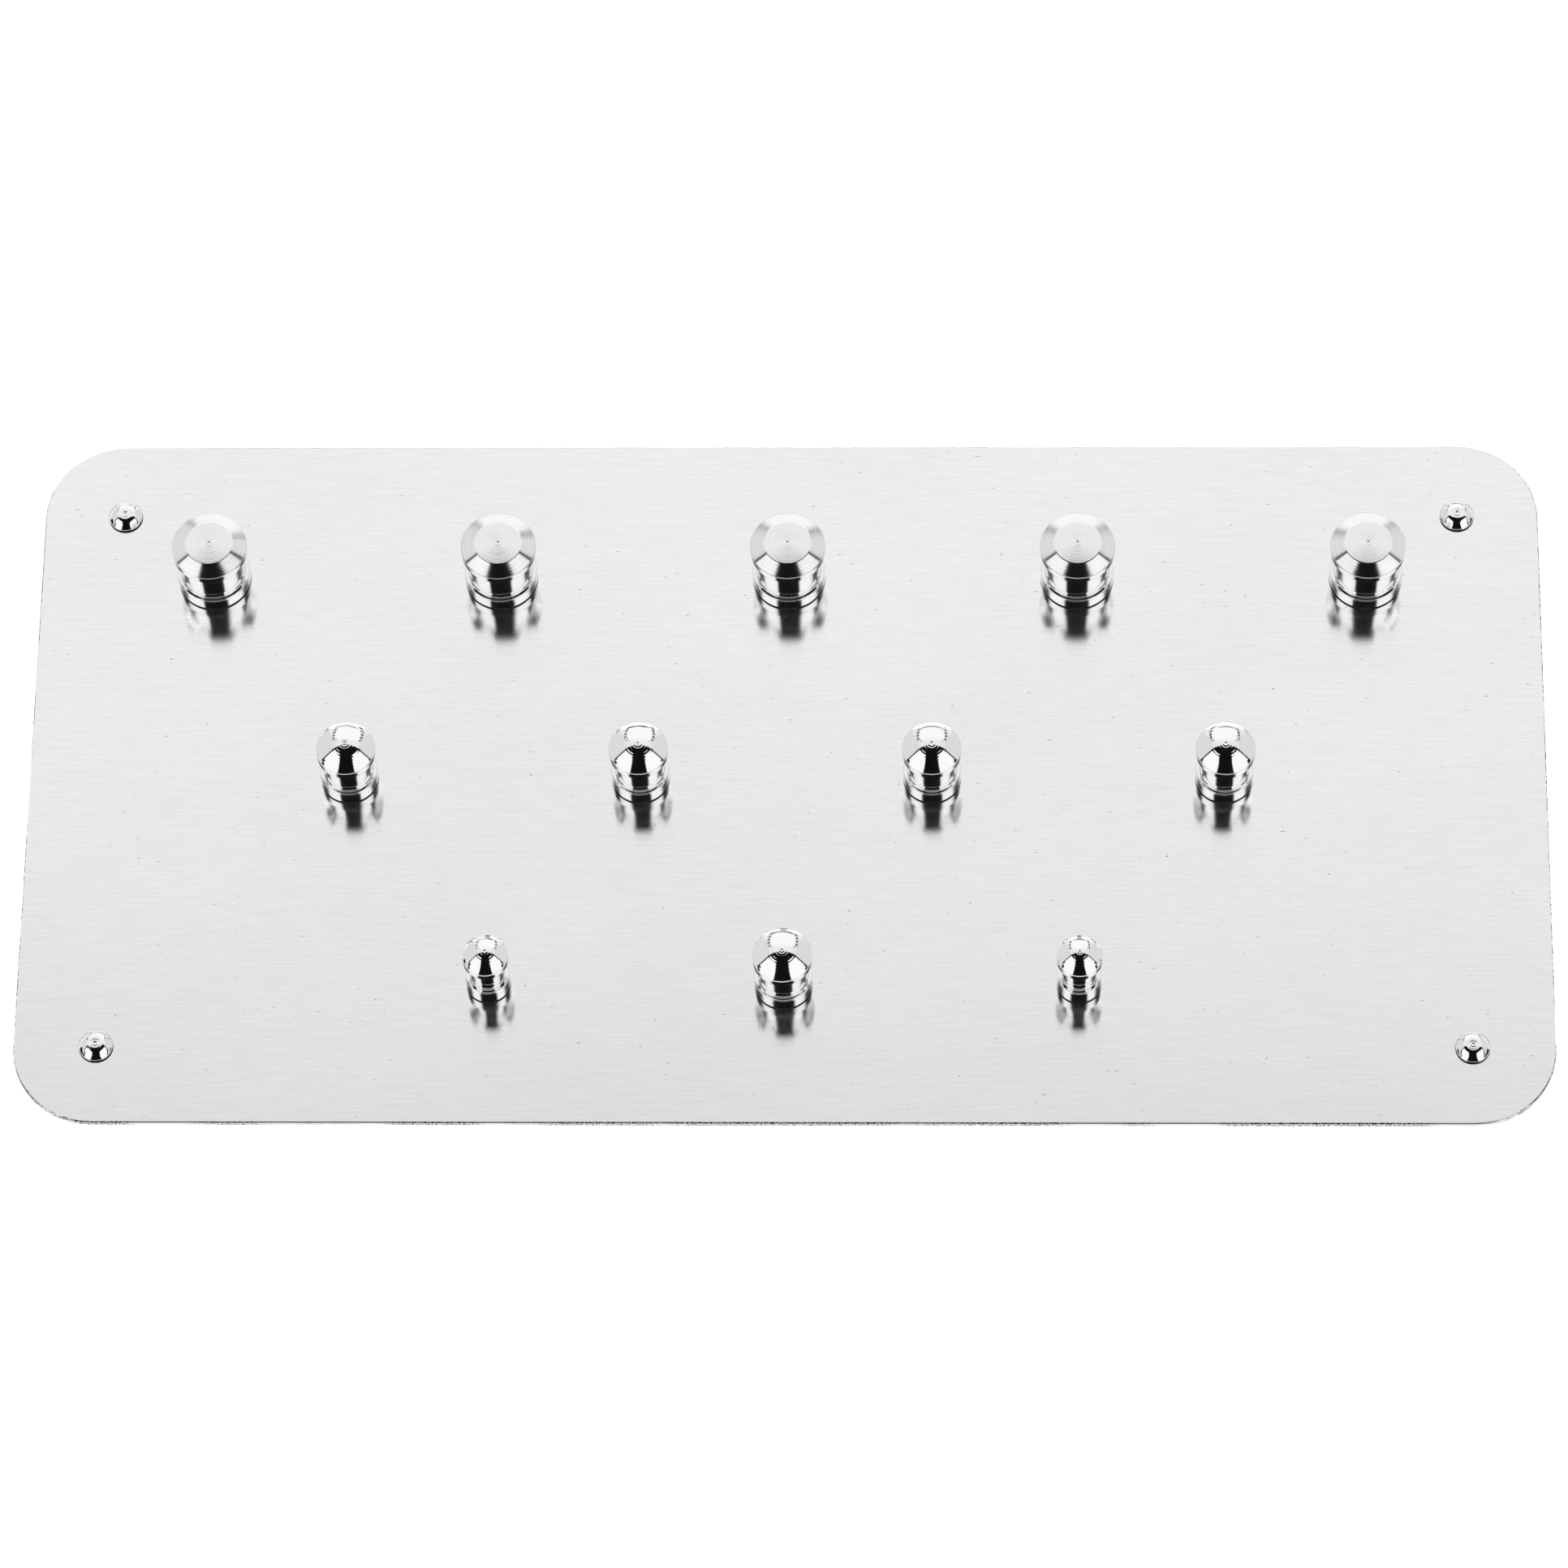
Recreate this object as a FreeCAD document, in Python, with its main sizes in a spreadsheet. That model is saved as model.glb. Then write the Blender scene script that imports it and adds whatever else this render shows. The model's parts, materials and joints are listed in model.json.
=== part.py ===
import FreeCAD, Part
import math
import os

import Sketcher

# Rubber dam clamp holder, in millimetres.
# A thin aluminium plate stands on four rubber feet and carries twelve turned pegs in three rows.
# X runs along the plate, Y to its back edge, Z up. The origin is the centre of the feet's base.

# Each size: name, value, what it is
SIZES = (
    ("plate_length", 200.0, "plate along X"),
    ("plate_depth", 100.0, "plate along Y"),
    ("plate_thickness", 1.0, "sheet thickness"),
    ("plate_corner_radius", 10.8, "corner arcs, whose centres are the studs' places"),
    ("plate_edge_break", 0.15, "chamfer along both outer edges"),
    ("peg_pitch", 38.4, "from peg to peg in a row"),
    ("row_spacing", 30.0, "from row to row"),
    ("large_rim_radius", 5.0, "widest part of a large peg's head"),
    ("large_rim_height", 8.8, "from the plate to the crease at the rim"),
    ("large_rim_land", 1.0, "upright band under the crease"),
    ("large_dome_rise", 0.9, "head above the crease"),
    ("large_crown_radius", 3.0, "nearly flat crown of a large peg, inside its conical bevel"),
    ("large_crown_rise", 0.08, "how far that crown is domed"),
    ("large_neck_radius", 4.25, "waist that the clamp closes on"),
    ("large_neck_top", 7.0, "height where the waist starts to flare"),
    ("large_collar_radius", 4.85, "collar that sits on the plate"),
    ("large_collar_height", 2.2, "collar's height"),
    ("medium_rim_radius", 3.9, "widest part of a medium peg's head"),
    ("medium_rim_height", 8.4, "from the plate to the crease at the rim"),
    ("medium_rim_land", 1.0, "upright band under the crease"),
    ("medium_dome_rise", 1.5, "dome above the crease"),
    ("medium_neck_radius", 3.2, "waist that the clamp closes on"),
    ("medium_neck_top", 6.6, "height where the waist starts to flare"),
    ("medium_collar_radius", 3.8, "collar that sits on the plate"),
    ("medium_collar_height", 2.4, "collar's height"),
    ("small_rim_radius", 3.0, "widest part of a small peg's head"),
    ("small_rim_height", 8.2, "from the plate to the crease at the rim"),
    ("small_rim_land", 0.9, "upright band under the crease"),
    ("small_dome_rise", 1.3, "dome above the crease"),
    ("small_neck_radius", 2.2, "waist that the clamp closes on"),
    ("small_neck_top", 6.4, "height where the waist starts to flare"),
    ("small_collar_radius", 2.9, "collar that sits on the plate"),
    ("small_collar_height", 2.7, "collar's height"),
    ("rim_bevel", 0.1, "broken crease at the rim"),
    ("collar_round", 0.18, "rounded upper edge of the collar"),
    ("neck_fillet", 0.2, "fillet where the waist meets the collar"),
    ("collar_base_break", 0.2, "chamfer at the collar's foot"),
    ("screw_radius", 1.25, "peg screw, outside its thread"),
    ("screw_length", 5.0, "peg screw, under its head"),
    ("screw_head_radius", 2.25, "pan head"),
    ("screw_head_height", 1.5, "pan head"),
    ("screw_head_round", 0.7, "rounded edge of the pan head"),
    ("screw_slot_width", 0.7, "driver slot"),
    ("screw_slot_depth", 0.6, "driver slot"),
    ("screw_tip_chamfer", 0.3, "chamfer at the screw's tip"),
    ("thread_clearance", 0.03, "between a screw and its peg, all round"),
    ("plate_hole_clearance", 0.15, "between the plate and a screw or stud, all round"),
    ("peg_hole_runout", 0.6, "hole left beyond the screw's tip"),
    ("peg_hole_tip", 0.7, "height of the drill's cone at the hole's end"),
    ("stud_head_radius", 2.25, "domed head of a corner stud"),
    ("stud_head_edge", 0.3, "upright edge of the domed head"),
    ("stud_dome_rise", 0.8, "dome above that edge"),
    ("stud_shank_radius", 1.5, "shank through the plate into the foot"),
    ("stud_reach", 2.8, "shank's length in the foot"),
    ("stud_tip_chamfer", 0.35, "chamfer at the shank's tip"),
    ("foot_height", 4.0, "from the table to the plate"),
    ("foot_top_radius", 4.6, "foot where it meets the plate"),
    ("foot_base_radius", 4.0, "foot where it meets the table"),
    ("foot_base_round", 0.6, "rounded lower edge of the foot"),
    ("foot_hole_clearance", 0.03, "between the stud's shank and the foot"),
    ("foot_hole_runout", 0.4, "hole left below the stud's tip"),
)

# Each full row: peg size, how many, and its place in row spacings from the plate's middle
ROWS = (("large", 5, 1), ("medium", 4, 0))
FRONT_ROW = ("small", "medium", "small")
FRONT_ROW_PLACE = -1

# Peg sizes whose head has a conical bevel round a flatter crown
BEVELLED_HEADS = ("large",)

# Signs of X and Y in the four corners, as the corners are numbered, and in order round the plate
CORNERS = ((-1, 1), (1, 1), (-1, -1), (1, -1))
QUARTERS = ((1, 1), (-1, 1), (-1, -1), (1, -1))

STUD_X = "(sizes.plate_length / 2 - sizes.plate_corner_radius)"
STUD_Y = "(sizes.plate_depth / 2 - sizes.plate_corner_radius)"
PLATE_TOP = "(sizes.foot_height + sizes.plate_thickness)"
SCREW_HOLE_RADIUS = "(sizes.screw_radius + sizes.plate_hole_clearance)"
STUD_HOLE_RADIUS = "(sizes.stud_shank_radius + sizes.plate_hole_clearance)"

# How a sketch's constraints name points and axes
START, FINISH, CENTRE = range(1, 4)
ORIGIN = (-1, 1)
LEVEL_AXIS, UPRIGHT_AXIS = -1, -2

UP = FreeCAD.Vector(0, 0, 1)
SAME_SPOT = 1e-4


def peg_places():
    """Every peg: its size, its place along X in pitches and its place along Y in row spacings."""
    places = []
    for size, count, row in ROWS:
        for index in range(count):
            places.append((size, index - (count - 1) / 2, row))
    middle = (len(FRONT_ROW) - 1) / 2
    for index, size in enumerate(FRONT_ROW):
        places.append((size, index - middle, FRONT_ROW_PLACE))
    return places


def peg_centre(pitches, rows):
    return f"({pitches} * sizes.peg_pitch)", f"({rows} * sizes.row_spacing)"


def corner_centre(sign_x, sign_y):
    return f"({sign_x} * {STUD_X})", f"({sign_y} * {STUD_Y})"


def make_sheet(doc):
    sheet = doc.addObject("Spreadsheet::Sheet", "sizes")
    for row, (name, value, meaning) in enumerate(SIZES, start=1):
        sheet.set(f"A{row}", name)
        sheet.set(f"B{row}", str(value))
        sheet.set(f"C{row}", meaning)
        sheet.setAlias(f"B{row}", name)
    doc.recompute()


def value_of(doc, expression):
    return float(doc.getObject("sizes").evalExpression(expression))


def make_body(doc, label, x="0", y="0", z="0"):
    """An empty body with its own label, placed by three expressions."""
    body = doc.addObject("PartDesign::Body", label)
    body.Label = label
    for axis, place in zip("xyz", (x, y, z)):
        body.setExpression(f"Placement.Base.{axis}", place)
    return body


def make_sketch(body, name, role, lift="0"):
    """A sketch on one of the body's own origin planes, lifted off it by an expression."""
    sketch = body.newObject("Sketcher::SketchObject", name)
    plane = next(f for f in body.Origin.OriginFeatures if f.Role == role)
    sketch.AttachmentSupport = (plane, [""])
    sketch.MapMode = "FlatFace"
    sketch.setExpression("AttachmentOffset.Base.z", lift)
    return sketch


def hold(sketch, kind, expression, *points):
    """Adds a constraint with a size and binds that size to the expression."""
    size = value_of(sketch.Document, expression)
    number = sketch.addConstraint(Sketcher.Constraint(kind, *points, size))
    sketch.setExpression(f"Constraints[{number}]", expression)


def hold_point(sketch, geometry, end, across, up):
    """Places a point of the sketch by two expressions. None leaves it on that axis."""
    if across is None:
        sketch.addConstraint(Sketcher.Constraint("PointOnObject", geometry, end, UPRIGHT_AXIS))
    else:
        hold(sketch, "DistanceX", across, *ORIGIN, geometry, end)
    if up is None:
        sketch.addConstraint(Sketcher.Constraint("PointOnObject", geometry, end, LEVEL_AXIS))
    else:
        hold(sketch, "DistanceY", up, *ORIGIN, geometry, end)


def join(sketch, before, after):
    sketch.addConstraint(Sketcher.Constraint("Coincident", before, FINISH, after, START))


def dome_arc(start, top):
    """The arc from the rim to the top of a dome whose centre lies on the axis."""
    rise = top.y - start.y
    radius = (start.x**2 + rise**2) / (2 * rise)
    centre = FreeCAD.Vector(0, top.y - radius, 0)
    slope = math.atan2(start.y - centre.y, start.x)
    return Part.ArcOfCircle(Part.Circle(centre, UP, radius), slope, math.pi / 2)


def turned(body, corners, dome_top=None):
    """Revolves a half section given as (radius, height) corners, from axis to axis.

    With dome_top, the section ends in an arc from its last corner up to that height on the axis.
    """
    doc = body.Document
    sketch = make_sketch(body, f"{body.Name}_section", "XZ_Plane")
    points = []
    for across, up in corners:
        x = value_of(doc, across) if across else 0
        y = value_of(doc, up) if up else 0
        points.append(FreeCAD.Vector(x, y, 0))
    for index, (start, finish) in enumerate(zip(points, points[1:])):
        sketch.addGeometry(Part.LineSegment(start, finish), False)
        hold_point(sketch, index, START, *corners[index])
        if index:
            join(sketch, index - 1, index)
    last = len(points) - 2
    hold_point(sketch, last, FINISH, *corners[-1])
    top = points[-1]
    if dome_top:
        top = FreeCAD.Vector(0, value_of(doc, dome_top), 0)
        arc = sketch.addGeometry(dome_arc(points[-1], top), False)
        join(sketch, last, arc)
        sketch.addConstraint(Sketcher.Constraint("PointOnObject", arc, CENTRE, UPRIGHT_AXIS))
        hold_point(sketch, arc, FINISH, None, dome_top)
        last = arc
    axis = sketch.addGeometry(Part.LineSegment(top, points[0]), False)
    join(sketch, last, axis)
    join(sketch, axis, 0)
    spin = body.newObject("PartDesign::Revolution", f"{body.Name}_turned")
    spin.Profile = sketch
    spin.ReferenceAxis = (sketch, ["V_Axis"])
    spin.Angle = 360
    doc.recompute()
    return spin


def ring_edges(feature, radius, height):
    """Names of the feature's circular edges of that radius at that height."""
    names = []
    for number, edge in enumerate(feature.Shape.Edges, start=1):
        if edge.Degenerated or not isinstance(edge.Curve, Part.Circle):
            continue
        same_height = abs(edge.Curve.Center.z - height) < SAME_SPOT
        if same_height and abs(edge.Curve.Radius - radius) < SAME_SPOT:
            names.append(f"Edge{number}")
    return names


def dress(body, kind, size, radius, height):
    """A Fillet or Chamfer along the ring at that radius and height of the body's last feature."""
    doc = body.Document
    base = body.Tip
    edges = ring_edges(base, value_of(doc, radius), value_of(doc, height))
    prop = "Radius" if kind == "Fillet" else "Size"
    feature = body.newObject(f"PartDesign::{kind}", f"{base.Name}_{kind}")
    feature.Base = (base, edges)
    feature.setExpression(prop, size)
    doc.recompute()


def make_peg(doc, label, size, pitches, rows):
    """A turned peg: collar, waist, head with an upright rim, shallow dome, tapped hole below."""
    x, y = peg_centre(pitches, rows)
    body = make_body(doc, label, x, y, PLATE_TOP)
    own = f"sizes.{size}_"
    hole_radius = "sizes.screw_radius + sizes.thread_clearance"
    hole_depth = "sizes.screw_length - sizes.plate_thickness + sizes.peg_hole_runout"
    land_foot = f"{own}rim_height - {own}rim_land"
    top = f"{own}rim_height + {own}dome_rise"
    corners = [
        (None, f"{hole_depth} + sizes.peg_hole_tip"),
        (hole_radius, hole_depth),
        (hole_radius, None),
        (f"{own}collar_radius", None),
        (f"{own}collar_radius", f"{own}collar_height"),
        (f"{own}neck_radius", f"{own}collar_height"),
        (f"{own}neck_radius", f"{own}neck_top"),
        (f"{own}rim_radius", land_foot),
        (f"{own}rim_radius", f"{own}rim_height"),
    ]
    if size in BEVELLED_HEADS:
        corners.append((f"{own}crown_radius", f"{top} - {own}crown_rise"))
    turned(body, corners, top)
    dress(body, "Fillet", "sizes.neck_fillet", f"{own}neck_radius", f"{own}collar_height")
    dress(body, "Fillet", "sizes.collar_round", f"{own}collar_radius", f"{own}collar_height")
    dress(body, "Chamfer", "sizes.rim_bevel", f"{own}rim_radius", f"{own}rim_height")
    dress(body, "Chamfer", "sizes.collar_base_break", f"{own}collar_radius", "0")
    return body


def make_stud(doc, label, sign_x, sign_y):
    """A domed corner stud whose shank runs through the plate into its foot."""
    x, y = corner_centre(sign_x, sign_y)
    body = make_body(doc, label, x, y, PLATE_TOP)
    tip = "-(sizes.plate_thickness + sizes.stud_reach)"
    corners = (
        (None, tip),
        ("sizes.stud_shank_radius", tip),
        ("sizes.stud_shank_radius", None),
        ("sizes.stud_head_radius", None),
        ("sizes.stud_head_radius", "sizes.stud_head_edge"),
    )
    turned(body, corners, "sizes.stud_head_edge + sizes.stud_dome_rise")
    dress(body, "Chamfer", "sizes.stud_tip_chamfer", "sizes.stud_shank_radius", tip)
    dress(body, "Chamfer", "sizes.rim_bevel", "sizes.stud_head_radius", "sizes.stud_head_edge")
    return body


def make_foot(doc, label, sign_x, sign_y):
    """A tapered rubber foot with a blind hole for the stud."""
    x, y = corner_centre(sign_x, sign_y)
    body = make_body(doc, label, x, y)
    hole_radius = "sizes.stud_shank_radius + sizes.foot_hole_clearance"
    hole_floor = "sizes.foot_height - sizes.stud_reach - sizes.foot_hole_runout"
    corners = (
        (None, None),
        ("sizes.foot_base_radius", None),
        ("sizes.foot_top_radius", "sizes.foot_height"),
        (hole_radius, "sizes.foot_height"),
        (hole_radius, hole_floor),
        (None, hole_floor),
    )
    turned(body, corners)
    dress(body, "Fillet", "sizes.foot_base_round", "sizes.foot_base_radius", "0")
    return body


def plate_outline(sketch):
    """A rounded rectangle about the sketch's origin, its corner arcs centred on the studs' places."""
    doc = sketch.Document
    radius = value_of(doc, "sizes.plate_corner_radius")
    quarter_turn = math.pi / 2
    arcs = []
    for quarter, signs in enumerate(QUARTERS):
        centre = corner_centre(*signs)
        circle = circle_at(doc, centre, radius)
        start = quarter * quarter_turn
        arc = sketch.addGeometry(Part.ArcOfCircle(circle, start, start + quarter_turn), False)
        hold_point(sketch, arc, CENTRE, *centre)
        hold(sketch, "Radius", "sizes.plate_corner_radius", arc)
        arcs.append(arc)
    for arc, following in zip(arcs, arcs[1:] + arcs[:1]):
        start = sketch.Geometry[arc].EndPoint
        finish = sketch.Geometry[following].StartPoint
        side = sketch.addGeometry(Part.LineSegment(start, finish), False)
        sketch.addConstraint(Sketcher.Constraint("Tangent", arc, FINISH, side, START))
        sketch.addConstraint(Sketcher.Constraint("Tangent", side, FINISH, following, START))


def circle_at(doc, centre, radius):
    place = FreeCAD.Vector(value_of(doc, centre[0]), value_of(doc, centre[1]), 0)
    return Part.Circle(place, UP, radius)


def add_circle(sketch, centre, radius):
    """A circle whose centre and radius are expressions."""
    doc = sketch.Document
    number = sketch.addGeometry(circle_at(doc, centre, value_of(doc, radius)), False)
    hold_point(sketch, number, CENTRE, *centre)
    hold(sketch, "Radius", radius, number)


def add_rectangle(sketch, centre, half_width, half_depth):
    """A rectangle about a centre, its half sizes given by expressions."""
    doc = sketch.Document
    corners = []
    for sign_x, sign_y in QUARTERS:
        across = f"{centre[0]} + {sign_x} * {half_width}"
        up = f"{centre[1]} + {sign_y} * {half_depth}"
        corners.append((across, up))
    points = [FreeCAD.Vector(value_of(doc, x), value_of(doc, y), 0) for x, y in corners]
    sides = []
    for corner, start, finish in zip(corners, points, points[1:] + points[:1]):
        side = sketch.addGeometry(Part.LineSegment(start, finish), False)
        hold_point(sketch, side, START, *corner)
        sides.append(side)
    for side, following in zip(sides, sides[1:] + sides[:1]):
        join(sketch, side, following)


def extrude(body, kind, sketch, length, reverse=False):
    """A Pad or Pocket of the sketch. Stops the build if it adds or cuts nothing."""
    doc = body.Document
    before = body.Tip.Shape.Volume if body.Tip else 0
    feature = body.newObject(f"PartDesign::{kind}", f"{sketch.Name}_{kind}")
    feature.Profile = sketch
    feature.Reversed = reverse
    feature.setExpression("Length", length)
    doc.recompute()
    change = feature.Shape.Volume - before
    if change * (1 if kind == "Pad" else -1) <= 0:
        raise RuntimeError(f"{feature.Name} changes nothing")
    return feature


def make_plate(doc):
    """The sheet: rounded outline, broken edges, a hole under each peg and one for each stud."""
    body = make_body(doc, "plate", z="sizes.foot_height")
    outline = make_sketch(body, "plate_outline", "XY_Plane")
    plate_outline(outline)
    sheet_pad = extrude(body, "Pad", outline, "sizes.plate_thickness")
    rim = [f"Edge{number}" for number, edge in enumerate(sheet_pad.Shape.Edges, start=1)
           if edge.BoundBox.ZLength < SAME_SPOT]
    edge_break = body.newObject("PartDesign::Chamfer", "plate_edge_break")
    edge_break.Base = (sheet_pad, rim)
    edge_break.setExpression("Size", "sizes.plate_edge_break")
    doc.recompute()
    holes = make_sketch(body, "plate_holes", "XY_Plane", "sizes.plate_thickness")
    for _, pitches, rows in peg_places():
        add_circle(holes, peg_centre(pitches, rows), SCREW_HOLE_RADIUS)
    for signs in CORNERS:
        add_circle(holes, corner_centre(*signs), STUD_HOLE_RADIUS)
    extrude(body, "Pocket", holes, "sizes.plate_thickness")
    return body


def make_screws(doc):
    """One slotted pan-head screw under each peg, all in one body of separate solids."""
    body = make_body(doc, "peg_screws", z="sizes.foot_height")
    body.AllowCompound = True
    centres = [peg_centre(pitches, rows) for _, pitches, rows in peg_places()]
    head_foot = "-sizes.screw_head_height"
    heads = make_sketch(body, "screw_heads", "XY_Plane", head_foot)
    for centre in centres:
        add_circle(heads, centre, "sizes.screw_head_radius")
    extrude(body, "Pad", heads, "sizes.screw_head_height")
    dress(body, "Fillet", "sizes.screw_head_round", "sizes.screw_head_radius", head_foot)
    shanks = make_sketch(body, "screw_shanks", "XY_Plane")
    for centre in centres:
        add_circle(shanks, centre, "sizes.screw_radius")
    extrude(body, "Pad", shanks, "sizes.screw_length")
    dress(body, "Chamfer", "sizes.screw_tip_chamfer", "sizes.screw_radius", "sizes.screw_length")
    slots = make_sketch(body, "screw_slots", "XY_Plane", head_foot)
    for centre in centres:
        add_rectangle(slots, centre, "sizes.screw_head_radius", "sizes.screw_slot_width / 2")
    extrude(body, "Pocket", slots, "sizes.screw_slot_depth", reverse=True)
    return body


def make_pegs(doc):
    """Every peg, numbered within its size from left to right and back to front."""
    pegs = []
    counts = {}
    for size, pitches, rows in peg_places():
        counts[size] = counts.get(size, 0) + 1
        pegs.append(make_peg(doc, f"peg_{size}_{counts[size]}", size, pitches, rows))
    return pegs


def make_corners(doc):
    """The four studs and the four feet that they hold."""
    pieces = []
    for number, signs in enumerate(CORNERS, start=1):
        pieces.append(make_stud(doc, f"corner_stud_{number}", *signs))
        pieces.append(make_foot(doc, f"foot_{number}", *signs))
    return pieces


def check(doc, pieces):
    """Stops the build if any object failed or any piece has no sound solid."""
    for thing in doc.Objects:
        if "Invalid" in thing.State or "Error" in thing.State:
            raise RuntimeError(f"{thing.Name} failed: {thing.State}")
    for piece in pieces:
        if piece.Shape.isNull() or not piece.Shape.isValid() or not piece.Shape.Solids:
            raise RuntimeError(f"{piece.Label} has no sound solid")


def main():
    doc = FreeCAD.newDocument("clamp_holder")
    make_sheet(doc)
    pieces = [make_plate(doc), *make_pegs(doc), make_screws(doc), *make_corners(doc)]
    doc.recompute()
    check(doc, pieces)
    os.makedirs("parts", exist_ok=True)
    for piece in pieces:
        piece.Shape.exportStep(f"parts/{piece.Label}.step")
        print(piece.Label, len(piece.Shape.Solids), round(piece.Shape.Volume, 2))


main()
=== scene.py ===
import json
import math

import bmesh
import bpy
from bpy.props import FloatProperty, IntProperty, PointerProperty
from mathutils import Euler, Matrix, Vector, noise


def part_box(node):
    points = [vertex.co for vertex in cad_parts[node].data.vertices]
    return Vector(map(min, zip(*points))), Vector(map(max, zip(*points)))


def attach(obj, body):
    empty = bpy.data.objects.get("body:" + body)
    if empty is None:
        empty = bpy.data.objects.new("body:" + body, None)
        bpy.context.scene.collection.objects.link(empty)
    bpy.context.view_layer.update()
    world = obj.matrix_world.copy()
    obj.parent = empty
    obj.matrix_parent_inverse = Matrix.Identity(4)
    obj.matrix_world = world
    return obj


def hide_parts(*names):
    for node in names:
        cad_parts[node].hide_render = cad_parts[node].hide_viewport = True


bl_info = {
    "name": "Clamp Holder",
    "version": (1, 0),
    "blender": (4, 5, 0),
    "location": "3D View > Sidebar > Clamp Holder",
    "description": "Finishes a clamp holder: brushed plate, turned pegs, corner studs, feet and studio",
    "category": "Object",
}

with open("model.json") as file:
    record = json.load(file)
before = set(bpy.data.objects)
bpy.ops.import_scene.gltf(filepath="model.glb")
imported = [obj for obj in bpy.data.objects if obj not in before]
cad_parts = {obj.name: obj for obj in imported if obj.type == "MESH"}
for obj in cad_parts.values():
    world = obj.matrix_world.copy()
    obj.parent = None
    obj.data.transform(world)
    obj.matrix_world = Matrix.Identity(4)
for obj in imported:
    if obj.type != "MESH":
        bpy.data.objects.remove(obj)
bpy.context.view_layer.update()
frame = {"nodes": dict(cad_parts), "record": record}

MM = 0.001
BODY = "root"
PLATE_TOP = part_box("plate")[1].z
RIMS = {mount["name"].removesuffix("_rim"): mount for mount in frame["record"]["mounts"]
        if mount["name"].endswith("_rim")}
STUDS = sorted(name for name in frame["nodes"] if name.startswith("corner_stud"))
FEET = sorted(name for name in frame["nodes"] if name.startswith("foot"))

# Material slots of a turned piece
SATIN = 1
# Slots that paint shade: a dark band at a peg's foot and under a stud's head
PAINTED_SHADE = 2
STUD_PAINTED_SHADE = 1

# Tolerances and steps of the turned meshes
ON_RING = 0.01 * MM
MERGE = 0.0001 * MM
GUARD = 0.03 * MM
GUARD_ROOM = 3
CHAMFER_STEPS = 1
EDGE_STEPS = 3
FILLET_STEPS = 4

# The attribute that says how far a section has been walked from its centre, in millimetres
WALKED = "turning"
GROOVES_PER_MM = 9.0

# Share of a full turn that makes a head rougher across its grooves
QUARTER_TURN = 0.25

# Detail of the noise patterns
SIMPLE = 1.0
USUAL = 2.0
FINE = 3.0

# Spans of a noise value, from where a change starts to where it is complete
WIDE = (0.3, 0.7)
UPPER = (0.4, 0.7)
STREAK_SPAN = (0.35, 0.65)
NICK_SPAN = (0.76, 0.82)
TORN_AND_SHADE_SPAN = (0.42, 0.55)
PATCH_SPAN = (0.35, 0.5)
RING_SPAN = (0.4, 0.62)
DUST_SPAN = (0.4, 0.75)


def millimetres(*sizes):
    """Sizes given in millimetres, in metres."""
    return tuple(size * MM for size in sizes)


# Sizes of the noise patterns along X, Y and Z
CLOUDS = millimetres(40, 25, 10)
STREAKS = millimetres(4, 0.22, 0.22)
SPECKLE = millimetres(0.14, 0.12, 0.12)
NICKS = millimetres(0.9, 0.35, 0.35)
GRAIN = millimetres(0.25, 0.25, 0.25)
PATCHES = millimetres(12, 12, 12)
SMUDGES = millimetres(1.5, 1.5, 1.5)
# Mottle in the painted shade at the feet of the turned pieces
SHADE_MOTTLE = millimetres(0.3, 0.3, 0.3)
SCUFFS = millimetres(0.15, 1.2, 0.3)
RUBBER_GRAIN = millimetres(0.2, 0.2, 0.2)
DUST = millimetres(2, 2, 2)
FLOOR_GRAIN = millimetres(3, 3, 3)

# Faces whose normal rises less than this belong to the plate's edge
EDGE_NORMAL = 0.9
EDGE_SOFT = 0.03

SCREW_COLOUR = (0.6, 0.6, 0.62, 1)
WHITE = (1, 1, 1, 1)
CAMERA_NEAR = 0.01
CAMERA_FAR = 20


def length(name, description, size):
    """A length whose default is given in millimetres."""
    return FloatProperty(name=name, description=description, default=size * MM, min=0, unit="LENGTH",
                         precision=5)


def angle(name, description, degrees):
    """An angle whose default is given in degrees."""
    return FloatProperty(name=name, description=description, default=math.radians(degrees),
                         subtype="ANGLE")


def share(name, description, default):
    """A value from 0 to 1."""
    return FloatProperty(name=name, description=description, default=default, min=0, max=1,
                         subtype="FACTOR")


def ratio(name, description, default):
    """A plain number of either sign."""
    return FloatProperty(name=name, description=description, default=default, precision=3)


def strength(name, description, default):
    """A number from 0 upwards."""
    return FloatProperty(name=name, description=description, default=default, min=0)


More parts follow.
